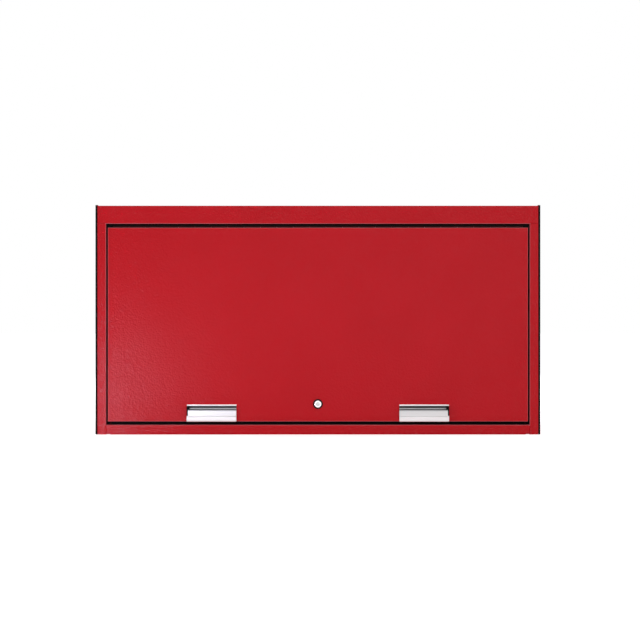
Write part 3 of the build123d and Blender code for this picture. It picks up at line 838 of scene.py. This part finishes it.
@dataclass
class DoorPull:
    """The right door pull and its mirror image: an open extrusion, capped at its outer end."""

    paint: Paintbox
    reach: float = field(init=False)
    height: float = field(init=False)
    wall: float = 2.6 * MM
    lean: float = 2.0 * MM
    lip: float = 35.5 * MM
    heel: float = 3.4 * MM
    bend: float = 5.0 * MM
    roll: float = 1.9 * MM
    roll_stop: float = 245.0
    rib: float = 0.9 * MM
    rib_height: float = 39.4 * MM
    bead: float = 2.3 * MM
    groove: float = 0.9 * MM
    groove_height: float = 15.5 * MM
    flange: float = 3.8 * MM
    gap: float = 0.04 * MM
    edge: float = 0.35 * MM
    edge_angle: float = 50.0

    def face(self, height: float) -> float:
        """Return how far the lip's outer face stands out at a height."""
        return self.reach - self.lean * (1 - height / self.lip)

    def section(self) -> list[Pair]:
        """Draw the extrusion's outline.

        Returns:
            (Distance from the door, height) pairs, in order.
        """
        tilt = math.degrees(math.atan2(self.lean, self.lip))
        bend_out = self.face(self.bend) - self.bend / math.cos(math.radians(tilt))
        corner = (bend_out, self.bend)
        heel = (self.heel, self.heel)
        points = arc(heel, self.heel, 180.0, 270.0, steps=6)
        points += arc(corner, self.bend, -90.0, -tilt, steps=10)
        groove = (self.face(self.groove_height), self.groove_height)
        points += arc(groove, self.groove, 270.0 - tilt, 90.0 - tilt, steps=8)
        roll = (self.reach - self.roll, self.lip)
        points += arc(roll, self.roll, -tilt, self.roll_stop, steps=16)
        points += arc(corner, self.bend - self.wall, -tilt, -90.0, steps=8)
        points += arc(heel, self.heel - self.wall, 270.0, 180.0, steps=4)
        points += arc((self.wall, self.rib_height), self.rib, -90.0, 90.0, steps=8)
        bead = (self.bead, self.height - self.bead)
        turn = math.degrees(math.acos((self.wall - self.bead) / self.bead))
        points += arc(bead, self.bead, -turn, 180.0, steps=14)
        return points

    def build(self) -> None:
        """Model the right pull and its cap, copy both to the left, and dress them."""
        low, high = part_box("right_pull")
        cap_low, cap_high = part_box("right_pull_end_cap")
        self.reach = high.y - low.y
        self.height = high.z - low.z
        outline = [Vector((low.x, high.y - out, low.z + up)) for out, up in self.section()]
        run = Vector((high.x - low.x, 0, 0))
        pull = Workpiece.extrusion("right_pull_extrusion", outline, run)
        flange_start = high.x - self.flange
        notch_low = Vector((flange_start - self.gap, low.y - self.wall, cap_low.z - self.gap))
        notch_high = Vector((high.x + self.wall, cap_high.y + self.gap, cap_high.z + self.gap))
        pull.boolean(Workpiece.block("notch", notch_low, notch_high), "DIFFERENCE")
        pull.rounded(self.edge, 1, self.edge_angle).smooth()
        cap = self.end_cap(low, cap_low, cap_high, flange_start)
        left_pull = pull.mirrored("left_pull_extrusion")
        left_pull.fit(self.paint, Slot.ALUMINIUM, "door", "left_pull")
        left_cap = cap.mirrored("left_cap_moulding")
        left_cap.fit(self.paint, Slot.PLASTIC, "door", "left_pull_end_cap")
        pull.fit(self.paint, Slot.ALUMINIUM, "door", "right_pull")
        cap.fit(self.paint, Slot.PLASTIC, "door", "right_pull_end_cap")

    def end_cap(self, low: Vector, cap_low: Vector, cap_high: Vector, start: float) -> Workpiece:
        """Model the right cap: a flange over the extrusion's end and a plug in its pocket.

        Args:
            low: The pull's lowest corner.
            cap_low: The cap's lowest corner.
            cap_high: The cap's highest corner.
            start: Where the flange starts on X.

        Returns:
            The cap.
        """
        door_face = low.y + self.reach
        plug_reach = self.reach - self.lean - self.wall - self.gap
        foot = cap_low.z - low.z
        top = cap_high.z - low.z
        root = door_face - cap_high.y
        corners = [
            (root, foot),
            (self.face(foot), foot),
            (self.face(self.lip), self.lip),
            (plug_reach, top),
            (root, top),
        ]
        outline = [Vector((start, door_face - out, low.z + up)) for out, up in corners]
        run = Vector((cap_high.x - start, 0, 0))
        cap = Workpiece.extrusion("right_cap_moulding", outline, run)
        plug_low = Vector((cap_low.x, door_face - plug_reach, cap_low.z))
        plug_high = Vector((cap_high.x - self.edge, cap_high.y, cap_high.z))
        cap.boolean(Workpiece.block("plug", plug_low, plug_high), "UNION")
        return cap.rounded(self.edge, 3).smooth()


@dataclass
class LockSet:
    """The lock's turned bezel and trim ring; its other nodes stay as the frame has them."""

    paint: Paintbox
    bore: float = 6.25 * MM
    barrel: float = 9.0 * MM
    bezel: float = 10.9 * MM
    shoulder: float = 1.5 * MM
    ridge: float = 0.35 * MM
    ridge_pitch: float = 1.5 * MM
    trim_bore: float = 9.1 * MM
    trim_round: float = 0.6 * MM
    steps: int = 64

    def ring(self, name: str, outline: Sequence[Pair], centre: Vector) -> Workpiece:
        """Turn a closed outline round the lock's axis.

        Args:
            name: The piece's name.
            outline: (radius, Y) pairs, in order.
            centre: A point on the axis.

        Returns:
            The piece.
        """
        loop = [*outline, outline[0]]
        points = [Vector((centre.x + radius, y, centre.z)) for radius, y in loop]
        return Workpiece.turned(name, points, centre, Vector((0, 1, 0)), self.steps)

    def build(self) -> None:
        """Model the bezel and the trim ring, and dress the lock."""
        low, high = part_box("lock_housing")
        trim_low, trim_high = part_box("lock_trim_ring")
        centre = (low + high) / 2
        seat = trim_low.y
        lead = self.ridge * 2
        outline = [(self.bore, low.y + lead), (self.bore + lead, low.y)]
        shoulder = (self.bezel - self.shoulder, low.y + self.shoulder)
        outline += arc(shoulder, self.shoulder, -90.0, 0.0, steps=8)
        outline += [(self.bezel, seat), (self.barrel, seat)]
        turns = int((high.y - trim_high.y) / self.ridge_pitch)
        for turn in range(turns):
            root = trim_high.y + turn * self.ridge_pitch
            outline += [(self.barrel - self.ridge, root + self.ridge_pitch / 2)]
            outline += [(self.barrel, root + self.ridge_pitch)]
        outline += [(self.barrel - self.ridge, high.y), (self.bore, high.y)]
        bezel = self.ring("lock_bezel", outline, centre).smooth()
        bezel.fit(self.paint, Slot.LOCK_CHROME, "door", "lock_housing")
        radius = (trim_high.x - trim_low.x) / 2
        edge = self.trim_round
        trim = [(self.trim_bore, trim_high.y), (self.trim_bore, trim_low.y)]
        trim += arc((radius - edge, trim_low.y + edge), edge, -90.0, 0.0, steps=6)
        trim += [(radius, trim_high.y)]
        trim_ring = self.ring("lock_trim", trim, centre).smooth()
        trim_ring.fit(self.paint, Slot.PLASTIC, "door", "lock_trim_ring")


@dataclass
class DoorSeals:
    """The rubber round the door: strips behind its edges, and thin black lips along the opening that stand in for
    the shade in the door gaps.
    """

    paint: Paintbox
    lip: float = 1.2 * MM
    stand_off: float = 0.4 * MM
    reach: float = 19.0 * MM
    fillet: float = 1.5 * MM
    edge: float = 1.0 * MM
    tab_gap: float = 0.6 * MM
    tab_drop: float = 4.2 * MM

    def section(self, width: float, thick: float) -> list[Pair]:
        """Return an L-section as (across, forward) pairs.

        Args:
            width: The strip's width; the lip stands forward just past it.
            thick: The strip's thickness.

        Returns:
            The outline's points.
        """
        # The lip is a thin dark sheet along the opening's reveal, standing in for the shade in the door gap.
        outer = width + self.stand_off
        inner = outer - self.lip
        half = self.lip / 2
        points = [(0.0, 0.0), (width, 0.0), (outer, self.stand_off)]
        points += arc((outer - half, thick + self.reach), half, 0.0, 180.0, steps=8)
        fillet = (inner - self.fillet, thick + self.fillet)
        points += arc(fillet, self.fillet, 0.0, -90.0, steps=6)
        points += arc((self.edge, thick - self.edge), self.edge, 90.0, 180.0, steps=4)
        return points

    def build(self) -> None:
        """Model the four seals and dress them."""
        low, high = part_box("right_side_seal")
        outline = [
            Vector((low.x + across, high.y - forward, low.z))
            for across, forward in self.section(high.x - low.x, high.y - low.y)
        ]
        run = Vector((0, 0, high.z - low.z))
        side = Workpiece.extrusion("right_seal_strip", outline, run).smooth()
        twin = side.mirrored("left_seal_strip")
        twin.fit(self.paint, Slot.RUBBER, "cabinet", "left_side_seal")
        side.fit(self.paint, Slot.RUBBER, "cabinet", "right_side_seal")
        self.header(high.x - self.lip)
        low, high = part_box("sill_seal")
        outline = [
            Vector((low.x, high.y - forward, high.z - across))
            for across, forward in self.section(high.z - low.z, high.y - low.y)
        ]
        run = Vector((high.x - low.x, 0, 0))
        sill = Workpiece.extrusion("sill_seal_strip", outline, run).smooth()
        sill.fit(self.paint, Slot.RUBBER, "cabinet", "sill_seal")

    def header(self, end: float) -> None:
        """Model the strip over the hinge, with a tab beside each end of the hinge.

        Args:
            end: Where the strip ends on X.
        """
        low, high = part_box("header_seal")
        hinge_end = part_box("hinge_pin")[1].x + self.tab_gap
        strip_low, strip_high = Vector((-end, *low.yz)), Vector((end, *high.yz))
        strip = Workpiece.block("header_seal_strip", strip_low, strip_high)
        for side in Side:
            left, right = sorted((side.value * hinge_end, side.value * end))
            tab_low = Vector((left, low.y, low.z - self.tab_drop))
            tab_high = Vector((right, high.y, low.z + self.edge))
            strip.boolean(Workpiece.block("tab", tab_low, tab_high), "UNION")
        strip.rounded(self.edge / 2).smooth()
        strip.fit(self.paint, Slot.RUBBER, "cabinet", "header_seal")


@dataclass
class PanScrews:
    """The pan head screws of the back panel and strut brackets: one model, copied to each seat."""

    paint: Paintbox
    head: float = 4.6 * MM
    crown: float = 2.4 * MM
    dome: float = 1.7 * MM
    shank: float = 2.4 * MM
    grip: float = 6.4 * MM
    point: float = 1.6 * MM
    cross_length: float = 5.0 * MM
    cross_width: float = 1.1 * MM
    cross_depth: float = 1.5 * MM
    columns: int = 4
    steps: int = 32

    def model(self) -> Workpiece:
        """Model a screw at the origin: its seat faces forward, with its head behind the seat.

        Returns:
            The screw.
        """
        outline = [(0.0, self.crown)]
        dome = (self.head - self.dome, self.crown - self.dome)
        outline += arc(dome, self.dome, 90.0, 0.0, steps=6)
        outline += [(self.head, 0.0), (self.shank, 0.0), (self.shank, -self.grip)]
        outline += [(0.0, -self.grip - self.point)]
        points = [Vector((radius, y, 0)) for radius, y in outline]
        screw = Workpiece.turned("screw", points, Vector(), Vector((0, 1, 0)), self.steps)
        long = self.cross_length / 2
        thin = self.cross_width / 2
        floor = self.crown - self.cross_depth
        for wide, tall in ((long, thin), (thin, long)):
            low = Vector((-wide, floor, -tall))
            high = Vector((wide, 2 * self.crown, tall))
            screw.boolean(Workpiece.block("recess", low, high), "DIFFERENCE")
        return screw.smooth()

    def back_seats(self) -> list[Vector]:
        """Place the seats on the back panel: two rows, and one at mid height on each side.

        Returns:
            The seats.
        """
        low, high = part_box("back_panel_screws")
        left, right = low.x + self.head, high.x - self.head
        under, over = low.z + self.head, high.z - self.head
        seat = high.y - self.crown
        columns = evenly(left, right, self.columns)
        seats = [Vector((x, seat, z)) for x in columns for z in (under, over)]
        return seats + [Vector((x, seat, (under + over) / 2)) for x in (left, right)]

    def bracket_seats(self) -> list[Vector]:
        """Place the seats on the two door brackets.

        Returns:
            The seats.
        """
        low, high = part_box("door_bracket_screws")
        across = high.x - self.head
        seat = high.y - self.crown
        rows = (low.z + self.head, high.z - self.head)
        return [Vector((side.value * across, seat, z)) for side in Side for z in rows]

    def build(self) -> None:
        """Copy the screw to every seat."""
        model = self.model()
        groups = (
            ("back_screw", "cabinet", "back_panel_screws", self.back_seats()),
            ("bracket_screw", "door", "door_bracket_screws", self.bracket_seats()),
        )
        for word, body, node, seats in groups:
            for number, seat in enumerate(seats, 1):
                screw = model.copy(f"{word}_{number:02d}", seat)
                screw.fit(self.paint, Slot.ZINC, body, node)
        model.drop()


@dataclass
class HingeRivets:
    """The rivets along both leaves of the continuous hinge, one head copied along each leaf."""

    paint: Paintbox
    radius: float = 3.2 * MM
    crown: float = 1.3 * MM
    drop: float = 15.0 * MM
    dome: tuple[Pair, ...] = ((0.35, 0.94), (0.65, 0.76), (0.88, 0.45), (1.0, 0.0))
    leaf: float = 1.2 * MM
    count: int = 13
    end: float = 35.0 * MM
    steps: int = 20
    soft: float = 60.0

    def model(self, facing: int) -> Workpiece:
        """Model a rivet head at the origin.

        Args:
            facing: The way that it points: -1 to the front, 1 to the back.

        Returns:
            The head.
        """
        outline = [(0.0, facing * self.crown)]
        outline += [(self.radius * out, facing * self.crown * up) for out, up in self.dome]
        outline += [(0.0, 0.0)]
        points = [Vector((radius, y, 0)) for radius, y in outline]
        rivet = Workpiece.turned("rivet", points, Vector(), Vector((0, 1, 0)), self.steps)
        return rivet.smooth(self.soft)

    def row(self, node: str, body: str, facing: int) -> None:
        """Set a row of rivets on one leaf.

        Args:
            node: The leaf.
            body: The body that the leaf is on.
            facing: The way that the leaf's open face points: -1 to the front, 1 to the back.
        """
        low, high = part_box(node)
        leaf_face = (low if facing > 0 else high).y + facing * self.leaf
        model = self.model(facing)
        places = evenly(low.x + self.end, high.x - self.end, self.count)
        for number, x in enumerate(places, 1):
            place = Vector((x, leaf_face, low.z + self.drop))
            rivet = model.copy(f"{body}_hinge_rivet_{number:02d}", place)
            rivet.fit(self.paint, Slot.ZINC, body)
        model.drop()

    def build(self) -> None:
        """Rivet the frame's leaf and the door's leaf."""
        self.row("hinge_frame_leaf", "cabinet", -1)
        self.row("hinge_door_leaf", "door", 1)


@dataclass
class GasStrut:
    """One gas strut's tube, turned with a shouldered base, a crimp groove and a rolled mouth."""

    paint: Paintbox
    side: Side
    radius: float = 9.0 * MM
    bore: float = 8.0 * MM
    neck: float = 18.0 * MM
    base: float = 4.0 * MM
    mouth_gap: float = 12.0 * MM
    shoulder: float = 2.5 * MM
    crimp: float = 2.0 * MM
    crimp_turn: float = 45.0
    crimp_place: float = 11.0 * MM
    mouth: float = 1.4 * MM

    def ball(self, joint: str) -> Vector:
        """Return a ball's centre from the joint that turns about it."""
        name = f"{self.side.word}_{joint}"
        return Vector(next(j["pos_m"] for j in frame["joints"] if j["name"] == name))

    def build(self) -> None:
        """Turn the tube and dress it."""
        wall = self.ball("cylinder_swing")
        along = self.ball("piston_swing") - wall
        length = along.length
        along.normalize()
        end = length - self.neck - self.mouth_gap
        floor = self.neck + self.base
        shoulder = (self.radius - self.shoulder, self.neck + self.shoulder)
        rim = self.crimp * math.cos(math.radians(self.crimp_turn))
        groove = (self.radius + rim, end - self.crimp_place)
        mouth = (self.radius - self.mouth, end - self.mouth)
        outline = [(self.bore / 2, self.neck)]
        outline += arc(shoulder, self.shoulder, -90.0, 0.0, steps=8)
        turn = self.crimp_turn
        outline += arc(groove, self.crimp, 180.0 + turn, 180.0 - turn, steps=6)
        outline += arc(mouth, self.mouth, 0.0, 90.0, steps=6)
        outline += [(self.bore, end), (self.bore, floor), (0.0, floor)]
        outline += [(0.0, self.neck), outline[0]]
        points = [wall + Vector((radius, 0, 0)) + along * reach for radius, reach in outline]
        word = self.side.word
        tube = Workpiece.turned(f"{word}_strut_cylinder_tube", points, wall, along).smooth()
        tube.fit(self.paint, Slot.BLACK_STEEL, f"{word}_strut_cylinder", f"{word}_strut_tube")


class LampUse(Enum):
    """What a lamp does: whether it lights surfaces, and whether it shows in reflections."""

    FILL = (True, False)
    SHEEN = (False, True)
    BOTH = (True, True)


@dataclass(frozen=True)
class Lamp:
    """A soft rectangular lamp."""

    name: str
    place: Triple
    target: Triple
    size: Pair
    power: float
    use: LampUse = LampUse.FILL
    colour: Triple = (1.0, 1.0, 1.0)

    def hang(self) -> None:
        """Add the lamp and face it to its target."""
        bpy.ops.object.light_add(type="AREA", location=self.place)
        lamp = bpy.context.object
        lamp.name = self.name
        lamp.data.shape = "RECTANGLE"
        lamp.data.size, lamp.data.size_y = self.size
        lamp.data.energy = self.power
        lamp.data.color = self.colour
        lamp.visible_diffuse, lamp.visible_glossy = self.use.value
        lamp.visible_camera = False
        facing = Vector(self.target) - Vector(self.place)
        lamp.rotation_euler = facing.to_track_quat("-Z", "Y").to_euler()


LAMPS = (
    Lamp("front_lamp", (0.85, -6.0, 0.9), DOOR_MIDDLE, (4.0, 2.5), 182.0),
    Lamp("right_lamp", (4.2, 2.0, 2.2), (0.6, 0, 0.35), (2.5, 2.0), 80.0),
    Lamp("left_lamp", (-4.2, 2.0, 2.2), (-0.6, 0, 0.35), (2.5, 2.0), 80.0),
    Lamp("rear_lamp", (0, 4.6, 2.8), (0, 0.28, 0.35), (4.0, 2.0), 90.0),
    Lamp("top_lamp", (0, -0.3, 4.6), (0, 0, 0.7), (3.0, 2.0), 50.0),
    Lamp(
        "low_left_lamp",
        place=(-0.92, -1.48, 0.05),
        target=(-0.7, -0.28, 0.08),
        size=(0.24, 0.09),
        power=4.1,
        use=LampUse.BOTH,
        colour=(0.96, 0.92, 1.16),
    ),
    Lamp("left_edge_lamp", (-4.2, -3.6, 0.5), DOOR_MIDDLE, (0.7, 2.0), 13.0, LampUse.SHEEN),
    Lamp("right_edge_lamp", (4.2, -3.6, 0.5), DOOR_MIDDLE, (0.7, 2.0), 13.0, LampUse.SHEEN),
    Lamp("top_edge_lamp", (0, -1.6, 4.8), DOOR_MIDDLE, (3.0, 0.9), 60.0, LampUse.SHEEN),
)


@dataclass
class Studio:
    """The camera, the lamps, the white surroundings and the floor."""

    lens: float = 100.0
    sensor: float = 36.0
    distance: float = 5.4774
    pull_depth: float = 20.0 * MM
    eye: Pair = (0.0065, 0.3528)
    surround: float = 0.22
    floor_size: float = 80.0
    floor_shades: tuple[Triple, Triple] = ((0.8, 0.8, 0.8), (0.84, 0.84, 0.84))
    floor_mottle: float = 3.0
    floor_roughness: float = 0.9
    floor_glow: float = 0.65
    floor_fade: Pair = (1.6, 4.5)

    def build(self) -> None:
        """Set up everything around the hutch."""
        scene = bpy.context.scene
        scene.view_settings.view_transform = "Standard"
        self.camera(scene)
        self.surroundings(scene)
        self.floor()
        for lamp in LAMPS:
            lamp.hang()

    def camera(self, scene: bpy.types.Scene) -> None:
        """Stand the camera in front of the door, level.

        Args:
            scene: The scene that gets it.
        """
        across, up = self.eye
        door_face = cad_low.y + self.pull_depth
        place = (across, door_face - self.distance, up)
        bpy.ops.object.camera_add(location=place, rotation=(FULL_TURN / 4, 0, 0))
        camera = bpy.context.object
        camera.data.lens = self.lens
        camera.data.sensor_width = self.sensor
        camera.data.clip_end = self.floor_size
        scene.camera = camera

    def surroundings(self, scene: bpy.types.Scene) -> None:
        """Make the world white to the eye and in reflections, and dimmer as a light.

        Args:
            scene: The scene that gets it.
        """
        scene.world = scene.world or bpy.data.worlds.new("surroundings")
        scene.world.use_nodes = True
        graph = NodeGraph(scene.world.node_tree)
        background = graph.tree.nodes["Background"]
        background.inputs["Color"].default_value = (1.0, 1.0, 1.0, 1.0)
        graph.tree.links.new(graph.seen(self.surround, 1.0), background.inputs["Strength"])

    def floor(self) -> None:
        """Lay the pale floor: it takes the hutch's shadow and otherwise looks white."""
        Workpiece.clear()
        bpy.ops.mesh.primitive_plane_add(size=self.floor_size, location=(0, 0, cad_low.z))
        floor = Workpiece("floor").obj
        graph = ShaderGraph("pale_floor")
        graph.constants(Roughness=self.floor_roughness, Specular_IOR_Level=0.0)
        mottle = graph.noise(self.floor_mottle)
        graph.drive("Base Color", graph.tint(mottle, *self.floor_shades))
        away = graph.distance(Vector(), Vector((0, 0, 1)))
        fade = graph.span(away, (0.0, 1.0), *self.floor_fade)
        graph.drive("Emission Color", graph.bands(fade, ((0.0, self.floor_glow), (1.0, 1.0))))
        graph.drive("Emission Strength", graph.seen(0.0, 1.0))
        floor.data.materials.append(graph.material)


def main() -> None:
    """Build and dress the hutch, piece by piece, and set up the studio."""
    logging.basicConfig(level=logging.INFO, format="%(name)s %(message)s")
    paint = Paintbox()
    paint.coat_frame()
    DoorPull(paint).build()
    LockSet(paint).build()
    DoorSeals(paint).build()
    PanScrews(paint).build()
    HingeRivets(paint).build()
    for side in Side:
        GasStrut(paint, side).build()
    Studio().build()


if __name__ == "__main__":
    main()
